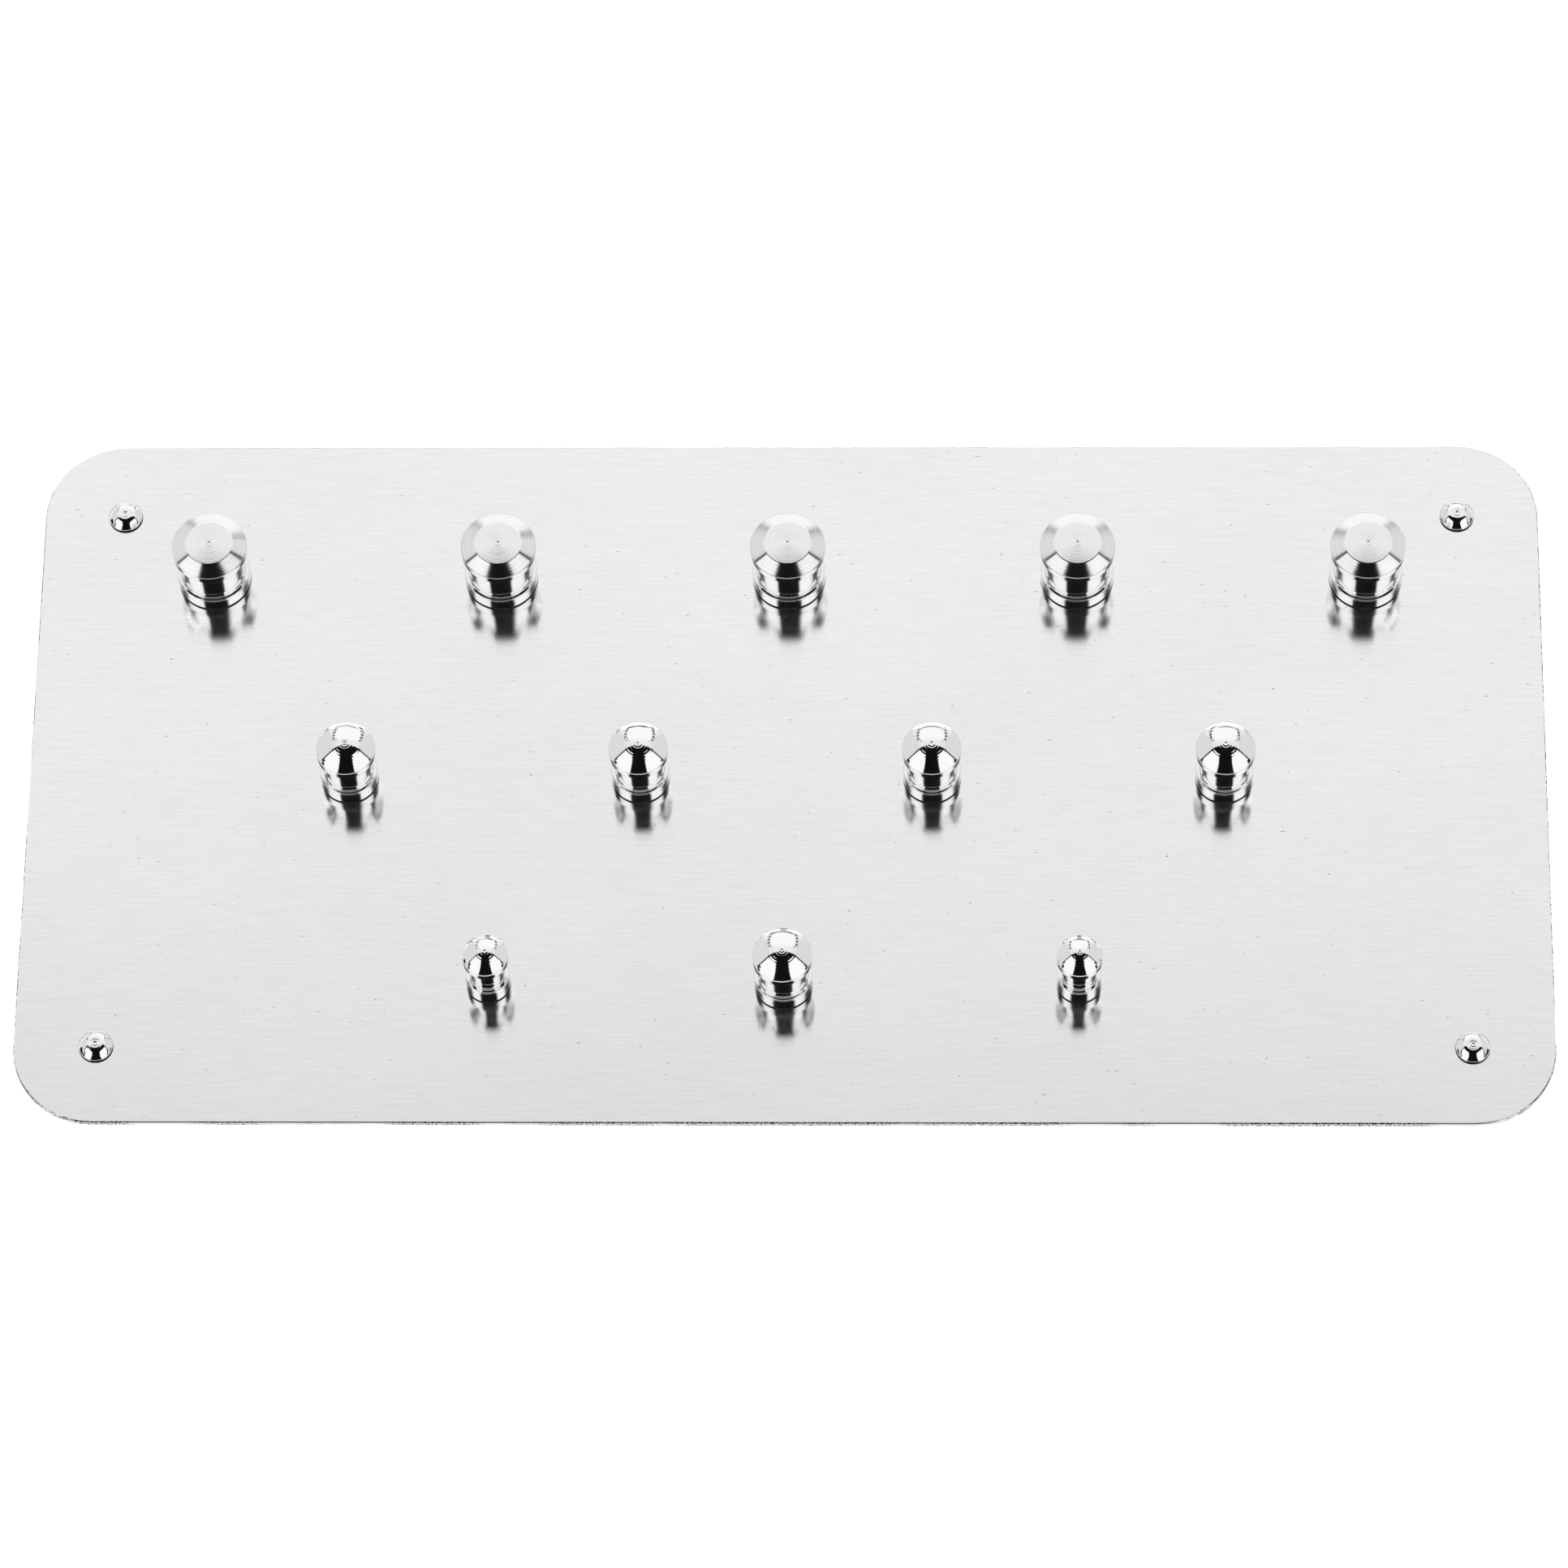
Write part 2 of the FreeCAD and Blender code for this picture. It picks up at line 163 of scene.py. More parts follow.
class PegProfile(bpy.types.PropertyGroup):
    """What the frame's boxes and mounts don't say of a turned peg's section"""

    large_neck_radius: length("Large waist", "Radius of a large peg's waist", 4.25)
    large_neck_top: length("Large flare", "Height where a large peg's waist starts to flare", 7.0)
    large_collar_radius: length("Large collar", "Radius of a large peg's collar", 4.85)
    large_collar_height: length("Large collar height", "Height of a large peg's collar", 2.2)
    large_crown_radius: length("Large crown", "Radius of the crown inside a large head's bevel", 3.15)
    large_crown_rise: length("Large crown rise", "How far that crown is domed", 0.08)
    medium_neck_radius: length("Medium waist", "Radius of a medium peg's waist", 3.2)
    medium_neck_top: length("Medium flare", "Height where a medium peg's waist starts to flare", 6.8)
    medium_collar_radius: length("Medium collar", "Radius of a medium peg's collar", 3.8)
    medium_collar_height: length("Medium collar height", "Height of a medium peg's collar", 2.4)
    small_neck_radius: length("Small waist", "Radius of a small peg's waist", 2.2)
    small_neck_top: length("Small flare", "Height where a small peg's waist starts to flare", 6.6)
    small_collar_radius: length("Small collar", "Radius of a small peg's collar", 2.9)
    small_collar_height: length("Small collar height", "Height of a small peg's collar", 2.7)
    hole_radius: length("Tapped hole", "Radius of the hole for the screw", 1.28)
    hole_depth: length("Hole depth", "Depth of the tapped hole", 4.6)
    hole_tip: length("Hole tip", "Height of the drill's cone", 0.7)
    rim_round: length("Rim round", "Round along the crease at the rim", 0.1)
    collar_round: length("Collar round", "Round along the collar's upper edge", 0.18)
    neck_fillet: length("Waist fillet", "Fillet where the waist meets the collar", 0.2)
    base_break: length("Foot break", "Chamfer at the collar's foot", 0.2)
    # Height of the band of painted shade at the collar's foot
    seam_height: length("Seam", "How high the dark seam at the foot reaches", 0.3)


class ToolMarks(bpy.types.PropertyGroup):
    """Marks that the lathe leaves on the heads"""

    ring_pitch: length("Ring pitch", "From one turned ring to the next", 0.34)
    large_ring_height: length("Large rings", "Depth of the rings on a large head", 0.0025)
    medium_ring_height: length("Medium rings", "Depth of the rings on a medium dome", 0.0042)
    small_ring_height: length("Small rings", "Depth of the rings on a small dome", 0.0042)
    stud_ring_height: length("Stud rings", "Depth of the rings on a stud", 0.004)
    large_middle_rings: strength("Large middle", "Rise of the rings near a large head's centre", 2)
    medium_middle_rings: strength("Medium middle", "Rise of the rings near a medium dome's centre", 5)
    small_middle_rings: strength("Small middle", "Rise of the rings near a small dome's centre", 5)
    stud_middle_rings: strength("Stud middle", "Rise of the rings near a stud's centre", 3)
    ring_steps: IntProperty(name="Ring steps", description="Points along the section for each ring",
                            default=6, min=4)
    pip_radius: length("Pip radius", "Radius of the dimple at a head's centre", 0.2)
    pip_depth: length("Pip depth", "Depth of the dimple at a head's centre", 0.06)
    segments: IntProperty(name="Segments", description="Steps of a full turn", default=160, min=24)


class Finishes(bpy.types.PropertyGroup):
    """Colours and roughness of the metals and the rubber"""

    plate_grey: share("Plate", "Grey of the brushed aluminium", 0.95)
    plate_roughness: share("Plate roughness", "Roughness of the brushed face", 0.13)
    edge_roughness: share("Edge roughness", "Roughness of the plate's cut edges", 0.3)
    plate_stretch: share("Plate stretch", "How much rougher the plate is across its brush lines", 0.85)
    brush_width: length("Brush width", "Width of a brush line", 0.08)
    brush_length: length("Brush length", "Length of a brush line", 6.0)
    brush_depth: length("Brush depth", "Depth of a brush line", 0.0007)
    grain_depth: length("Grain depth", "Depth of the plate's fine grain", 0.0012)
    steel_grey: share("Steel", "Grey of the polished steel", 0.88)
    steel_roughness: share("Steel roughness", "Roughness of the polish", 0.04)
    head_roughness: share("Head roughness", "Roughness of a large head", 0.13)
    head_smudge: share("Head smudges", "How much rougher a large head gets in places", 0.026)
    head_stretch: share("Head stretch", "How much rougher a large head is across its grooves", 0.8)
    groove_depth: length("Polish grooves", "Depth of the fine grooves in the polish", 0.0004)
    head_groove_depth: length("Head grooves", "Depth of the fine grooves on a large head", 0.002)
    rubber_grey: share("Rubber", "Grey of the feet", 0.02)
    cloud_dark: share("Dark clouds", "How much darker the plate's clouds get", 0.015)
    cloud_light: share("Light clouds", "How much lighter the plate's clouds get", 0.01)
    streak_dark: share("Dark streaks", "How much darker the plate's streaks get", 0.02)
    streak_light: share("Light streaks", "How much lighter the plate's streaks get", 0.015)
    nick_dark: share("Nicks", "How much darker the plate's small nicks are", 0.45)
    edge_grey: share("Edge", "Grey of the cut edge where it is whole", 0.8)
    # Near black where torn: partly the torn metal, partly painted shade on the cut edge
    torn_grey: share("Torn edge", "Grey of the cut edge where it is torn", 0.05)
    smudge_dark: share("Smudges", "How much darker the polish gets in places", 0.01)
    # Painted shade in the grooves and painted highlight on the ridges of a large head
    ring_dark: share("Dark rings", "How much darker the grooves of a large head get", 0.06)
    ring_light: share("Light rings", "How much lighter the grooves of a large head get", 0.05)
    # Greys of the painted shade at the feet of the turned pieces
    seam_dark: share("Seam dark", "Darkest grey of the seams", 0.01)
    seam_light: share("Seam light", "Lightest grey of the seams", 0.04)
    seam_roughness: share("Seam roughness", "Roughness of the seams", 0.8)
    seam_grain: length("Seam grain", "Depth of the grain in the seams", 0.01)
    screw_smooth: share("Screws from", "Least roughness of the screws", 0.25)
    screw_rough: share("Screws to", "Greatest roughness of the screws", 0.42)
    screw_grain: length("Screw grain", "Depth of the grain of the screws", 0.003)
    rubber_smooth: share("Rubber from", "Least roughness of the rubber", 0.55)
    rubber_rough: share("Rubber to", "Greatest roughness of the rubber", 0.75)
    rubber_grain: length("Rubber grain", "Depth of the rubber's grain", 0.01)


class Studio(bpy.types.PropertyGroup):
    """The camera, the floor and the panels of light around the holder"""

    camera_x: FloatProperty(name="Camera X", description="Across", default=0.02722, unit="LENGTH")
    camera_y: FloatProperty(name="Camera Y", description="Towards the back", default=-0.4702, unit="LENGTH")
    camera_z: FloatProperty(name="Camera Z", description="Up", default=0.92634, unit="LENGTH")
    tilt_x: angle("Tilt", "Turn about X", 26.9986)
    tilt_y: angle("Roll", "Turn about Y", 1.3552)
    tilt_z: angle("Pan", "Turn about Z", 0.6993)
    lens: FloatProperty(name="Lens", description="Focal length in millimetres", default=180.28)
    floor_size: length("Floor", "Half the floor's width", 4000)
    floor_grey: share("Floor grey", "Grey of the floor", 0.93)
    floor_uneven: share("Floor uneven", "How much darker the floor gets in places", 0.01)
    floor_roughness: share("Floor roughness", "Roughness of the floor", 0.7)
    floor_sheen: share("Floor sheen", "Specular level of the floor", 0.1)
    floor_glow: strength("Floor glow", "Light that the floor gives", 0.7)
    soft: angle("Softness", "Half the width of the soft edges in the light", 1.2)
    room: strength("Room", "Light from the room", 0.94)
    room_sides: strength("Room sides", "Light from the room's sides", 0.8)
    sides_from: angle("Sides from", "Where the room's sides start", 31)
    window: strength("Back panel", "Light from the panel behind and above", 1.08)
    panels: strength("Side panels", "Light from the panels left and right of the front gap", 1.1)
    low: strength("Low front", "Light from low in front", 1.1)
    frame: strength("Frame light", "Light from the frames round the panels", 0.02)
    dark: strength("Gap", "Light from the gaps between the panels", 0.006)
    window_from: angle("Back panel from", "Where the back panel starts, over the top from the front", 124)
    window_from_lean: ratio("Back panel lean", "Rise of its near edge to the sides", 0.3)
    window_to: angle("Back panel to", "Where the back panel ends", 176)
    window_side: angle("Back panel side", "Half the back panel's width where it is widest", 28.5)
    window_widest: angle("Back panel widest", "Where the back panel is widest", 137)
    window_curve: ratio("Back panel curve", "How the half width shrinks from there", -0.464)
    window_frame: angle("Back panel frame", "Width of the dark frame round the back panel", 3)
    gap_from: angle("Front gap from", "Where the front gap starts", 8)
    gap_side: angle("Front gap side", "Half the front gap's width where it is narrowest", 17.5)
    gap_narrowest: angle("Front gap narrowest", "Where the front gap is narrowest", 72)
    gap_curve: ratio("Front gap curve", "How the half width grows from there", 0.258)
    bar_from: angle("Bar from", "Where the dark bar overhead starts", 60)
    bar_from_lean: ratio("Bar lean", "Rise of its front edge to the sides", 1.2)
    bar_to: angle("Bar to", "Where the dark bar overhead ends", 111)
    bar_to_lean: ratio("Bar back lean", "Rise of its back edge to the sides", -0.1)
    bar_side: angle("Bar side", "How far the dark bar reaches to the sides", 36)
    panel_from: angle("Side panels from", "Where the side panels start", 18)
    panel_to: angle("Side panels to", "Where the side panels end, over the top from the front", 123)
    panel_to_lean: ratio("Side panels lean", "Rise of that edge to the sides", -0.65)
    panel_side: angle("Side panels side", "How far the side panels reach to the sides", 56)
    panel_frame: angle("Side panels frame", "Width of the dark frame round the side panels", 6)
    side_gap_from: angle("Side gap from", "Where the low gap at the sides starts", 4)
    side_gap_front: angle("Side gap front", "The low side gap's front end, round from the front", 62)
    side_gap_back: angle("Side gap back", "The low side gap's back end, round from the front", 103)


GROUPS = {
    "clamp_holder_profile": PegProfile,
    "clamp_holder_marks": ToolMarks,
    "clamp_holder_finishes": Finishes,
    "clamp_holder_studio": Studio,
}


class Shader:
    """Adds nodes to one node tree and links them."""

    def __init__(self, tree):
        self.nodes = tree.nodes
        self.links = tree.links
        self.nodes.clear()

    def add(self, kind, **settings):
        """A new node with its settings."""
        node = self.nodes.new(kind)
        for name, value in settings.items():
            setattr(node, name, value)
        return node

    def plug(self, source, socket):
        """Links a node's output to the socket, or sets a plain value there."""
        if isinstance(source, bpy.types.NodeSocket):
            self.links.new(source, socket)
        else:
            socket.default_value = source

    def math(self, operation, first, second=0.0, third=0.0):
        """One step of arithmetic."""
        node = self.add("ShaderNodeMath", operation=operation)
        for socket, source in zip(node.inputs, (first, second, third)):
            self.plug(source, socket)
        return node.outputs[0]

    def ramp(self, value, start, finish, low=0.0, high=1.0):
        """Low up to start and high past finish, with a smooth change between."""
        node = self.add("ShaderNodeMapRange", interpolation_type="SMOOTHSTEP")
        for name, source in zip(("Value", "From Min", "From Max", "To Min", "To Max"),
                                (value, start, finish, low, high)):
            self.plug(source, node.inputs[name])
        return node.outputs["Result"]

    def above(self, value, edge, soft):
        """1 above the edge and 0 below it."""
        return self.ramp(value, edge - soft, edge + soft)

    def below(self, value, edge, soft):
        """1 below the edge and 0 above it."""
        return self.ramp(value, edge - soft, edge + soft, 1.0, 0.0)

    def between(self, value, low, high, soft):
        """1 from low to high and 0 outside."""
        return self.both(self.above(value, low, soft), self.below(value, high, soft))

    def both(self, first, second):
        """Where two masks overlap."""
        return self.math("MULTIPLY", first, second)

    def blend(self, amount, first, second):
        """A number that goes from first to second."""
        node = self.add("ShaderNodeMix", data_type="FLOAT")
        for socket, source in zip(node.inputs[:1] + node.inputs[2:4], (amount, first, second)):
            self.plug(source, socket)
        return node.outputs[0]

    def noise(self, place, scale, detail, dimensions="3D"):
        """Noise at a place, or along a line."""
        node = self.add("ShaderNodeTexNoise", noise_dimensions=dimensions)
        node.inputs["Scale"].default_value = scale
        node.inputs["Detail"].default_value = detail
        self.plug(place, node.inputs["W" if dimensions == "1D" else "Vector"])
        return node.outputs["Fac"]

    def pattern(self, size, detail=USUAL):
        """Noise in the object's own coordinates, with its size along X, Y and Z."""
        place = self.add("ShaderNodeTexCoord").outputs["Object"]
        mapping = self.add("ShaderNodeMapping")
        mapping.inputs["Scale"].default_value = [1 / step for step in size]
        self.plug(place, mapping.inputs["Vector"])
        return self.noise(mapping.outputs["Vector"], 1.0, detail)

    def bump(self, height, depth, normal=None):
        """The normal over a height pattern, on top of an earlier normal."""
        node = self.add("ShaderNodeBump")
        node.inputs["Distance"].default_value = depth
        self.plug(height, node.inputs["Height"])
        if normal is not None:
            self.plug(normal, node.inputs["Normal"])
        return node.outputs["Normal"]

    def grey(self, value):
        """A colour with the same value in all three parts."""
        node = self.add("ShaderNodeCombineColor")
        for socket in node.inputs[:3]:
            self.plug(value, socket)
        return node.outputs["Color"]

    def finish(self, **sockets):
        """The surface shader, its sockets given by name with underscores for spaces."""
        surface = self.add("ShaderNodeBsdfPrincipled")
        for name, source in sockets.items():
            self.plug(source, surface.inputs[name.replace("_", " ")])
        output = self.add("ShaderNodeOutputMaterial")
        self.plug(surface.outputs["BSDF"], output.inputs["Surface"])


def new_material(name):
    """A material and the helper that fills its nodes."""
    material = bpy.data.materials.new(name)
    material.use_nodes = True
    return material, Shader(material.node_tree)


def brushed_aluminium(finishes):
    """Satin sheet brushed along X, with rough sawn edges."""
    material, shader = new_material("brushed_aluminium")
    lines = shader.pattern((finishes.brush_length, finishes.brush_width, finishes.brush_width), FINE)
    clouds = shader.pattern(CLOUDS)
    streaks = shader.pattern(STREAKS)
    speckle = shader.pattern(SPECKLE, SIMPLE)
    nicks = shader.pattern(NICKS, SIMPLE)
    grain = shader.pattern(GRAIN, FINE)
    patches = shader.pattern(PATCHES, SIMPLE)

    normal = shader.add("ShaderNodeSeparateXYZ")
    shader.plug(shader.add("ShaderNodeTexCoord").outputs["Normal"], normal.inputs[0])
    edge = shader.below(shader.math("ABSOLUTE", normal.outputs["Z"]), EDGE_NORMAL, EDGE_SOFT)

    tone = shader.math("ADD", shader.ramp(clouds, *WIDE, -finishes.cloud_dark, finishes.cloud_light),
                       shader.ramp(streaks, *STREAK_SPAN, -finishes.streak_dark, finishes.streak_light))
    face_grey = shader.math("SUBTRACT", shader.math("ADD", tone, finishes.plate_grey),
                            shader.ramp(nicks, *NICK_SPAN, 0.0, finishes.nick_dark))
    # Patches of the cut edge go near black: partly torn metal, partly painted shade
    torn_and_shaded = shader.both(shader.ramp(grain, *TORN_AND_SHADE_SPAN, 1.0, 0.0), shader.ramp(patches, *PATCH_SPAN))
    edge_grey = shader.blend(torn_and_shaded, finishes.edge_grey, finishes.torn_grey)
    brushed = shader.bump(lines, finishes.brush_depth)
    across_brushing = shader.add("ShaderNodeTangent", direction_type="RADIAL", axis="X")
    shader.finish(
        Base_Color=shader.grey(shader.blend(edge, face_grey, edge_grey)),
        Metallic=1.0,
        Roughness=shader.blend(edge, finishes.plate_roughness, finishes.edge_roughness),
        Anisotropic=finishes.plate_stretch,
        Tangent=across_brushing.outputs["Tangent"],
        Normal=shader.bump(shader.blend(edge, speckle, grain), finishes.grain_depth, brushed),
    )
    return material


def round_grooves(shader):
    """Noise along the turned section, which makes grooves round the axis."""
    walked = shader.add("ShaderNodeAttribute", attribute_name=WALKED).outputs["Fac"]
    return shader.noise(walked, GROOVES_PER_MM, FINE, "1D")


def polished_steel(name, finishes):
    """Steel polished on the lathe, with faint grooves."""
    material, shader = new_material(name)
    smudges = shader.pattern(SMUDGES)
    shader.finish(
        Base_Color=shader.grey(shader.ramp(smudges, *WIDE, finishes.steel_grey - finishes.smudge_dark,
                                           finishes.steel_grey)),
        Metallic=1.0,
        Roughness=shader.ramp(smudges, *UPPER, finishes.steel_roughness, 2 * finishes.steel_roughness),
        Normal=shader.bump(round_grooves(shader), finishes.groove_depth),
    )
    return material


def turned_steel(finishes):
    """Steel as the lathe leaves it, rougher across its grooves than along them."""
    material, shader = new_material("turned_dome")
    grooves = round_grooves(shader)
    smudges = shader.pattern(SMUDGES)
    round_axis = shader.add("ShaderNodeTangent", direction_type="RADIAL", axis="Z")
    shader.finish(
        # The groove noise that bumps the head also paints it: painted shade in the hollows, painted
        # highlight on the ridges
        Base_Color=shader.grey(shader.ramp(grooves, *RING_SPAN, finishes.steel_grey - finishes.ring_dark,
                                           finishes.steel_grey + finishes.ring_light)),
        Metallic=1.0,
        Roughness=shader.ramp(smudges, *UPPER, finishes.head_roughness,
                              finishes.head_roughness + finishes.head_smudge),
        Anisotropic=finishes.head_stretch,
        Anisotropic_Rotation=QUARTER_TURN,
        Tangent=round_axis.outputs["Tangent"],
        Normal=shader.bump(grooves, finishes.head_groove_depth),
    )
    return material


def dark_seam(finishes):
    """Painted shade: a near-black, mottled band at the foot of a turned piece, standing in for the shadow
    in its gap.
    """
    material, shader = new_material("dark_seam")
    mottle = shader.pattern(SHADE_MOTTLE)
    shader.finish(
        Base_Color=shader.grey(shader.ramp(mottle, *UPPER, finishes.seam_dark, finishes.seam_light)),
        Roughness=finishes.seam_roughness,
        Normal=shader.bump(mottle, finishes.seam_grain),
    )
    return material


def screw_steel(finishes):
    """Plain machine screws, lightly brushed."""
    material, shader = new_material("screw_steel")
    scuffs = shader.pattern(SCUFFS, FINE)
    shader.finish(
        Base_Color=SCREW_COLOUR,
        Metallic=1.0,
        Roughness=shader.ramp(scuffs, *WIDE, finishes.screw_smooth, finishes.screw_rough),
        Normal=shader.bump(scuffs, finishes.screw_grain),
    )
    return material


def foot_rubber(finishes):
    """Matt moulded rubber with a fine grain."""
    material, shader = new_material("foot_rubber")
    grain = shader.pattern(RUBBER_GRAIN)
    dust = shader.pattern(DUST, FINE)
    shader.finish(
        Base_Color=shader.grey(shader.ramp(dust, *DUST_SPAN, finishes.rubber_grey,
                                           2 * finishes.rubber_grey)),
        Roughness=shader.ramp(dust, *WIDE, finishes.rubber_smooth, finishes.rubber_rough),
        Normal=shader.bump(grain, finishes.rubber_grain),
    )
    return material


def domed(radius, reach, rise):
    """Height above the edge of a shallow dome."""
    return rise * (1 - (radius / reach) ** 2)


def bevelled(radius, reach, rise, crown_reach, crown_rise):
    """Height above the edge of a head with a conical bevel round a crown that is nearly flat."""
    if radius <= crown_reach:
        return rise - crown_rise * (radius / crown_reach) ** 2
    return (rise - crown_rise) * (reach - radius) / (reach - crown_reach)


def shouldered(radius, reach, rise, crown_reach):
    """Height above the edge of a dome that is flat in its middle."""
    away = max(0, radius - crown_reach) / (reach - crown_reach)
    return rise * (1 - away ** 2)


def head_points(reach, foot, height_at, marks, ring_height, middle_rings, seed):
    """Half section of a head from its centre to its edge, with a dimple and turned rings."""
    count = round(reach / marks.ring_pitch * marks.ring_steps)
    points = []
    for index in range(count):
        radius = reach * index / count
        height = foot + height_at(radius)
        if radius < marks.pip_radius:
            height -= marks.pip_depth * (1 + math.cos(math.pi * radius / marks.pip_radius)) / 2
        else:
            uneven = 1 + noise.noise((radius / marks.ring_pitch / 2, seed, 0))
            fade = min(1, (reach - radius) / marks.ring_pitch)
            swell = 1 + middle_rings * max(0, 1 - 2 * radius / reach)
            wave = math.sin(math.tau * radius / marks.ring_pitch + seed)
            height += ring_height * uneven * fade * swell * wave / 2
        points.append((radius, height))
    points.append((reach, foot))
    return points


def ring_edges(mesh, radius, height):
    """The edges of the ring at that radius and height."""
    def on_ring(vert):
        return math.dist((vert.co.xy.length, vert.co.z), (radius, height)) < ON_RING

    return [edge for edge in mesh.edges if all(on_ring(vert) for vert in edge.verts)]


def stepped(start, finish, distance):
    """The point at that distance from start on the way to finish."""
    start, finish = Vector(start), Vector(finish)
    return tuple(start + (finish - start).normalized() * distance)


def guarded(section, rounds):
    """Adds a point on both sides of each corner, past its round, so that the flats shade evenly."""
    sizes = {(radius, height): size for radius, height, size, steps in rounds}
    points = [section[0]]
    for before, corner, after in zip(section, section[1:], section[2:]):
        distance = sizes.get(corner, 0) + GUARD
        if math.dist(before, corner) > GUARD_ROOM * distance:
            points.append(stepped(corner, before, distance))
        points.append(corner)
        if math.dist(corner, after) > GUARD_ROOM * distance:
            points.append(stepped(corner, after, distance))
    return points + [section[-1]]


def turn(section, rounds, segments):
    """Turns a half section of (radius, height) points round Z and rounds its rings."""
    mesh = bmesh.new()
    walked = mesh.verts.layers.float.new(WALKED)
    verts = [mesh.verts.new((radius, 0, height)) for radius, height in guarded(section, rounds)]
    way = 0.0
    for vert, before in zip(verts, [verts[0]] + verts):
        way += (vert.co - before.co).length / MM
        vert[walked] = way
    for pair in zip(verts, verts[1:]):
        mesh.edges.new(pair)
    bmesh.ops.spin(mesh, geom=mesh.verts[:] + mesh.edges[:], cent=(0, 0, 0), axis=(0, 0, 1),
                   angle=math.tau, steps=segments, use_merge=True)
    bmesh.ops.remove_doubles(mesh, verts=mesh.verts, dist=MERGE)
    for radius, height, size, steps in rounds:
        bmesh.ops.bevel(mesh, geom=ring_edges(mesh, radius, height), offset=size,
                        offset_type="OFFSET", segments=steps, profile=0.5, affect="EDGES", material=-1)
    bmesh.ops.recalc_face_normals(mesh, faces=mesh.faces)
    for face in mesh.faces:
        face.smooth = True
    return mesh


def finished_piece(name, mesh, place, materials, node):
    """Makes the object, its place in its mesh, and shows it instead of the CAD node."""
    bmesh.ops.translate(mesh, verts=mesh.verts, vec=place)
    data = bpy.data.meshes.new(name)
    mesh.to_mesh(data)
    mesh.free()
    for material in materials:
        data.materials.append(material)
    piece = bpy.data.objects.new(name, data)
    bpy.context.scene.collection.objects.link(piece)
    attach(piece, BODY)
    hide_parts(node)


def paint_node(node, material):
    """Gives a CAD node's slots the material."""
    for slot in frame["nodes"][node].material_slots:
        slot.material = material


def foot_of(node, height):
    """The point at that height on the upright axis of a round node."""
    low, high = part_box(node)
    return Vector(((low.x + high.x) / 2, (low.y + high.y) / 2, height))


def peg_mesh(name, mount, profile, marks, seed):
    """A peg's turned mesh about its own axis, its foot at height 0."""
    kind = name.split("_")[1]
    rim = mount["dims"]["r_mm"] * MM
    land = mount["dims"]["length_mm"] * MM
    rim_height = mount["pos_m"][2] + land / 2 - PLATE_TOP
    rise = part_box(name)[1].z - PLATE_TOP - rim_height
    neck = getattr(profile, f"{kind}_neck_radius")
    collar = getattr(profile, f"{kind}_collar_radius")
    collar_height = getattr(profile, f"{kind}_collar_height")

    def height_at(radius):
        if kind == "large":
            return bevelled(radius, rim, rise, profile.large_crown_radius, profile.large_crown_rise)
        return domed(radius, rim, rise)

    section = head_points(rim, rim_height, height_at, marks, getattr(marks, f"{kind}_ring_height"),
                          getattr(marks, f"{kind}_middle_rings"), seed)
    section += [
        (rim, rim_height - land),
        (neck, getattr(profile, f"{kind}_neck_top")),
        (neck, collar_height),
        (collar, collar_height),
        (collar, profile.seam_height),
        (collar, 0),
        (profile.hole_radius, 0),
        (profile.hole_radius, profile.hole_depth),
        (0, profile.hole_depth + profile.hole_tip),
    ]
    rounds = (
        (rim, rim_height, profile.rim_round, EDGE_STEPS),
        (neck, collar_height, profile.neck_fillet, FILLET_STEPS),
        (collar, collar_height, profile.collar_round, FILLET_STEPS),
        (collar, 0, profile.base_break, CHAMFER_STEPS),
    )
    mesh = turn(section, rounds, marks.segments)
    for face in mesh.faces:
        middle = face.calc_center_median()
        # Faces low on the collar get the painted shade, and a large head gets its satin
        if middle.z < profile.seam_height and middle.xy.length > neck:
            face.material_index = PAINTED_SHADE
        elif kind == "large" and middle.z > rim_height:
            face.material_index = SATIN
    return mesh


class CLAMP_HOLDER_OT_plate(bpy.types.Operator):
    """Give the plate its brushed faces and rough edges"""

    bl_idname = "clamp_holder.plate"
    bl_label = "Finish Plate"

    def execute(self, context):
        paint_node("plate", brushed_aluminium(context.scene.clamp_holder_finishes))
        return {"FINISHED"}


class CLAMP_HOLDER_OT_pegs(bpy.types.Operator):
    """Turn the twelve pegs"""

    bl_idname = "clamp_holder.pegs"
    bl_label = "Turn Pegs"

    def execute(self, context):
        finishes = context.scene.clamp_holder_finishes
        profile = context.scene.clamp_holder_profile
        marks = context.scene.clamp_holder_marks
        materials = (polished_steel("polished_steel", finishes), turned_steel(finishes),
                     dark_seam(finishes))
        for seed, (name, mount) in enumerate(RIMS.items()):
            mesh = peg_mesh(name, mount, profile, marks, seed)
            place = Vector((mount["pos_m"][0], mount["pos_m"][1], PLATE_TOP))
            finished_piece(f"turned_{name}", mesh, place, materials, name)
        return {"FINISHED"}


